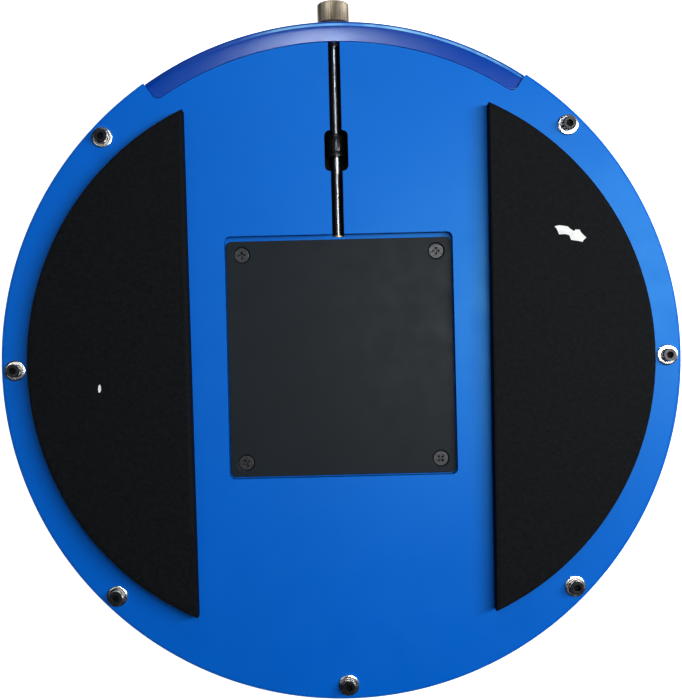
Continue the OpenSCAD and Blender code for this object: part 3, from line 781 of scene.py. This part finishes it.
def cover_screws():
    """Countersunk cross-head screws, each left at its own turn."""
    bottom, top, shank_r = screws_lo.z, screws_hi.z, 2 * MM
    cone_top = top - 0.3 * MM
    profile = [
        (0.6 * MM, bottom), (shank_r, bottom + 1 * MM), (shank_r, cone_top - COVER_HEAD_R + shank_r),
        (COVER_HEAD_R, cone_top), (COVER_HEAD_R, top - 0.08 * MM), (COVER_HEAD_R - 0.25 * MM, top),
    ]
    for number, ((x, y), turn) in enumerate(zip(at_corners(SCREW_X, SCREW_Y), SCREW_TURNS), 1):
        screw = combine(lathe("screw", profile, 64), "DIFFERENCE", cross_slot(top))
        screw = round_edges(screw, 0.12 * MM, lambda e: at_height(e, top))
        screw.name = f"cover_screw_{number}"
        place(screw, Matrix.Translation((x, y, 0)) @ Matrix.Rotation(math.radians(turn), 4, "Z"))
        stand_for(screw, "cover_screws")


# ---- Foam feet ----

FOAM_STEP = 3 * MM
FOAM_WAVES = ((0.06 * MM, 900), (0.05 * MM, 260))  # depth, and scale in cycles per metre


def foot_outline(side):
    """The piece of a disc beyond a straight edge, which is a little off square."""
    centre_x, edge = side * FOOT_ARC_X, FOOT_EDGE_X
    skew = math.radians(-side * FOOT_SKEW)
    normal = Vector((side * math.cos(skew), side * math.sin(skew)))
    distance = normal.dot(Vector((centre_x, 0)))
    half = math.degrees(math.acos((edge - distance) / FOOT_R))
    middle = math.degrees(math.atan2(normal.y, normal.x))
    return arc((centre_x, 0), FOOT_R, middle - half, middle + half, 160)


def slice_both_ways(bm, step):
    """Cuts a mesh's faces by upright planes a step apart, so that its skin can be made uneven."""
    for axis in (0, 1):
        values = [vertex.co[axis] for vertex in bm.verts]
        normal = Vector((0, 0, 0))
        normal[axis] = 1
        for i in range(1, int((max(values) - min(values)) / step) + 1):
            at = Vector((0, 0, 0))
            at[axis] = min(values) + i * step
            bmesh.ops.bisect_plane(bm, geom=[*bm.verts, *bm.edges, *bm.faces], plane_co=at, plane_no=normal)


def foam_foot(name, side, node):
    """Die-cut closed-cell foam: crisp corners, softened edges and a skin that is not quite even."""
    pad = prism(name, foot_outline(side), FACE_Z, FOOT_TOP)
    pad = round_edges(pad, 0.5 * MM, lambda e: at_height(e, FOOT_TOP))
    bm = bmesh.new()
    bm.from_mesh(pad.data)
    bpy.data.objects.remove(pad)
    slice_both_ways(bm, FOAM_STEP)
    bm.normal_update()
    for vertex in bm.verts:
        depth = sum(size * noise.noise(vertex.co * scale) for size, scale in FOAM_WAVES)
        vertex.co -= vertex.normal * abs(depth)
        vertex.co.z = min(max(vertex.co.z, FACE_Z), FOOT_TOP)
    pad = new_object(name, bm, smooth_below=60)
    stand_for(pad, node)


# ---- Rim screws ----


def knurl(teeth, depth, z0, z1):
    """Straight knurling between two heights."""
    def shape(radius, height, angle):
        if not z0 < height < z1:
            return radius
        return radius - depth * (0.5 - 0.5 * math.cos(teeth * angle)) ** 0.7
    return shape


def rim_bolts():
    """Black socket cap screws with knurled heads, each left at its own turn."""
    bottom, under, teeth = bolts_lo.z, WASHER_TOP, 36
    tip, foot, edge = 0.5 * MM, 0.15 * MM, 0.35 * MM
    profile = [
        (BOLT_R - tip, bottom), (BOLT_R, bottom + tip), (BOLT_R, under),
        (BOLT_HEAD_R - foot, under), (BOLT_HEAD_R, under + foot),
        (BOLT_HEAD_R, under + 0.5 * MM), (BOLT_HEAD_R, under + 0.6 * MM),
        (BOLT_HEAD_R, BOLT_TOP - 2.4 * edge), (BOLT_HEAD_R, BOLT_TOP - 2 * edge),
        (BOLT_HEAD_R - 0.3 * edge, BOLT_TOP - 0.5 * edge), (BOLT_HEAD_R - edge, BOLT_TOP),
    ]
    grip = knurl(teeth, 0.18 * MM, under + 0.55 * MM, BOLT_TOP - 2.2 * edge)
    socket_r = SOCKET_AF / math.cos(math.pi / 6) / 2
    socket_z, mouth_r = BOLT_TOP - 2.4 * MM, socket_r + 0.1 * MM
    for number, angle in enumerate(BOLT_ANGLES, 1):
        bolt = lathe("bolt", profile, teeth * 4, shape=grip)
        socket = lathe("socket", [(socket_r, socket_z), (socket_r, BOLT_TOP + PAST)], 6)
        combine(bolt, "DIFFERENCE", [socket])
        bolt = round_edges(bolt, 0.12 * MM, lambda e: at_height(e, BOLT_TOP) and edge_ring(e)[1] < mouth_r)
        bolt.name = f"rim_bolt_{number}"
        place(bolt, to_bolt(angle) @ Matrix.Rotation(number * 1.9, 4, "Z"))
        stand_for(bolt, "rim_bolts")
        axis = (to_bolt(angle) @ Vector((0, 0, 0))).xy
        # Painted shade: the socket's inner faces take the near-black finish.
        dress_inside(bolt, FINISHES["painted_shade_black"], lambda middle, normal: (
            (middle.xy - axis).length < socket_r and BOLT_TOP - 4 * MM < middle.z < BOLT_TOP - 0.15 * MM))


def rim_washers():
    """Bright washers with a bevelled rim and a face that falls away towards it."""
    hole = BOLT_R + 0.25 * MM
    profile = [
        (hole, FACE_Z), (WASHER_R - 0.1 * MM, FACE_Z), (WASHER_R, FACE_Z + 0.12 * MM),
        (WASHER_R, WASHER_TOP - 0.4 * MM), (WASHER_R - 0.12 * MM, WASHER_TOP - 0.2 * MM),
        (WASHER_R - 0.6 * MM, WASHER_TOP - 0.03 * MM), (WASHER_R - 0.9 * MM, WASHER_TOP),
        (hole, WASHER_TOP),
    ]
    for number, angle in enumerate(BOLT_ANGLES, 1):
        washer = lathe(f"rim_washer_{number}", profile, 96, ring=True)
        stand_for(place(washer, to_bolt(angle)), "rim_washers")


# ---- Playing side ----


def clamp_ring():
    """The ring that clamps the head, with a lip over the rubber and a hole at each rim screw."""
    lo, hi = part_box("clamp_ring")
    head_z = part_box("rubber_pad")[1].z
    out_r, lip_r, in_r, round_r, chamfer = hi.x, 155 * MM, 165 * MM, 3 * MM, 0.3 * MM
    corner = arc((out_r - round_r, lo.z + round_r), round_r, 270, 360, 8)
    profile = [
        (lip_r, head_z), (lip_r + 0.3 * MM, lo.z + 0.1 * MM), (lip_r + 0.6 * MM, lo.z), *corner,
        (out_r, hi.z - chamfer), (out_r - chamfer, hi.z), (in_r, hi.z), (in_r, head_z),
    ]
    ring = lathe("clamp_ring_piece", profile, 320, ring=True)
    combine(ring, "DIFFERENCE", [bolt_holes(BOLT_R, lo.z - PAST, hi.z - lo.z + 2 * PAST)])
    stand_for(round_edges(ring, 0.2 * MM, lambda e: at_height(e, lo.z)), "clamp_ring")


def rubber_pad():
    """The playing surface: a rubber disc with a round edge."""
    lo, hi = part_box("rubber_pad")
    radius, edge = hi.x, 1.5 * MM
    corner = arc((radius - edge, lo.z + edge), edge, 270, 360, 8)
    stand_for(lathe("playing_surface", [*corner, (radius, hi.z)], 320), "rubber_pad")


# ---- Adjuster ----


def knob():
    """Turned and straight-knurled, with plain chamfered ends and a shallow dish in the outer one."""
    length = knob_hi.y - knob_lo.y
    chamfer, near, fade, teeth = 0.8 * MM, 0.3 * MM, 0.1 * MM, 72
    band = (near + fade, length - 1 * MM)
    profile = [
        (SHAFT_R + 0.4 * MM, 0), (KNOB_R - near, 0), (KNOB_R, near), (KNOB_R, band[0] + fade),
        (KNOB_R, band[1] - fade), (KNOB_R, length - chamfer), (KNOB_R - chamfer, length),
        (KNOB_R * 0.55, length), (KNOB_R * 0.5, length - 0.25 * MM), (0.4 * MM, length - 0.3 * MM),
    ]
    piece = lathe("knob_piece", profile, teeth * 4, shape=knurl(teeth, 0.26 * MM, *band))
    stand_for(along_shaft(piece, knob_lo.y), "knob")


def shaft_coupling():
    """A dark sleeve with a fine groove round it and a long chamfer at its outer end."""
    length, radius = coupling_hi.y - coupling_lo.y, coupling_hi.x
    edge, groove = 0.5 * MM, 0.25 * MM
    profile = [
        (SHAFT_R, 0), (radius - edge, 0), (radius, edge),
        (radius, 2.6 * MM), (radius - groove, 3.1 * MM), (radius, 3.15 * MM),
        (radius, length - 1.5 * MM), (radius - 0.08 * MM, length - 1.3 * MM),
        (radius - 0.6 * MM, length - 0.25 * MM), (radius - 0.85 * MM, length), (SHAFT_R, length),
    ]
    piece = lathe("coupling_piece", profile, 96, ring=True)
    stand_for(along_shaft(piece, coupling_lo.y), "shaft_coupling")


def turned_rod(name, node, grooves=()):
    """A ground rod with chamfered ends, and a groove at each (start, width) along it."""
    lo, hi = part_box(node)
    length, chamfer, groove_r = hi.y - lo.y, 0.3 * MM, SHAFT_R - 0.4 * MM
    profile = [(SHAFT_R - chamfer, 0), (SHAFT_R, chamfer)]
    for start, width in grooves:
        end = start + width
        profile += [(SHAFT_R, start), (groove_r, start), (groove_r, end), (SHAFT_R, end)]
    profile += [(SHAFT_R, length - chamfer), (SHAFT_R - chamfer, length)]
    stand_for(along_shaft(lathe(name, profile, 64), lo.y), node)


def rods():
    """The shaft from knob to coupling, and the lead screw, whose hidden thread is left plain."""
    clip_lo, clip_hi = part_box("shaft_clip")
    screw_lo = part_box("lead_screw")[0]
    turned_rod("knob_shaft_piece", "knob_shaft")
    turned_rod("lead_screw_piece", "lead_screw", [(clip_lo.y - screw_lo.y, clip_hi.y - clip_lo.y)])


def return_springs():
    """The CAD springs, copied as they stand onto a mesh of their own."""
    springs = frame["nodes"]["return_springs"].copy()
    springs.data = springs.data.copy()
    springs.name = "lifter_springs"
    bpy.context.scene.collection.objects.link(springs)
    stand_for(springs, "return_springs")
    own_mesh(springs)


# ---- Paper left on the foam ----


def paper_scrap(name, centre, outline, node):
    """A torn scrap of backing paper that still sticks to a foot. The record has no slot for paper, so it
    gets a paper finish of its own."""
    lift, thick = 0.02 * MM, 0.13 * MM
    points = [((centre[0] + x) * MM, (centre[1] + y) * MM) for x, y in outline]
    scrap = prism(name, points, FOOT_TOP + lift, FOOT_TOP + lift + thick)
    dress(scrap, FINISHES["paper"])
    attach(scrap, BODY_OF[node])


def paper_scraps():
    """Outlines in millimetres about each scrap's middle."""
    paper_scrap("paper_scrap_right", (119.3, 61.8), [
        (-8.1, 3.9), (-7.1, 2.8), (-5.8, -0.3), (-2.8, -0.2), (-0.6, -0.8), (0.2, -3.2), (4.0, -3.9),
        (6.2, -4.4), (6.6, -3.5), (8.1, -2.3), (7.1, -1.3), (5.4, 0.5), (4.7, 1.9), (2.5, 2.0), (2.0, 1.1),
        (-0.3, 2.6), (-1.2, 3.6), (-3.1, 4.0), (-5.8, 4.4),
    ], "foam_pad_right")
    paper_scrap("paper_scrap_left", (-124.5, -12.1), [
        (-0.6, -2.0), (0.2, -2.1), (0.8, -0.8), (0.6, 1.2), (0.1, 2.1), (-0.5, 1.4), (-0.8, -0.4),
    ], "foam_pad_left")


# ---- Everything ----

make_camera()
make_floor()
make_lights()
make_world()
bpy.context.scene.view_settings.view_transform = "Standard"

for node, carried in frame["nodes"].items():
    dress(carried, FINISHES["black_steel" if node == "rim_bushing" else SLOT_OF[node]])

base_shell()
rim_bridge()
cover_plate()
cover_screws()
foam_foot("foam_left", -1, "foam_pad_left")
foam_foot("foam_right", 1, "foam_pad_right")
rim_washers()
rim_bolts()
clamp_ring()
rubber_pad()
knob()
shaft_coupling()
rods()
return_springs()
paper_scraps()
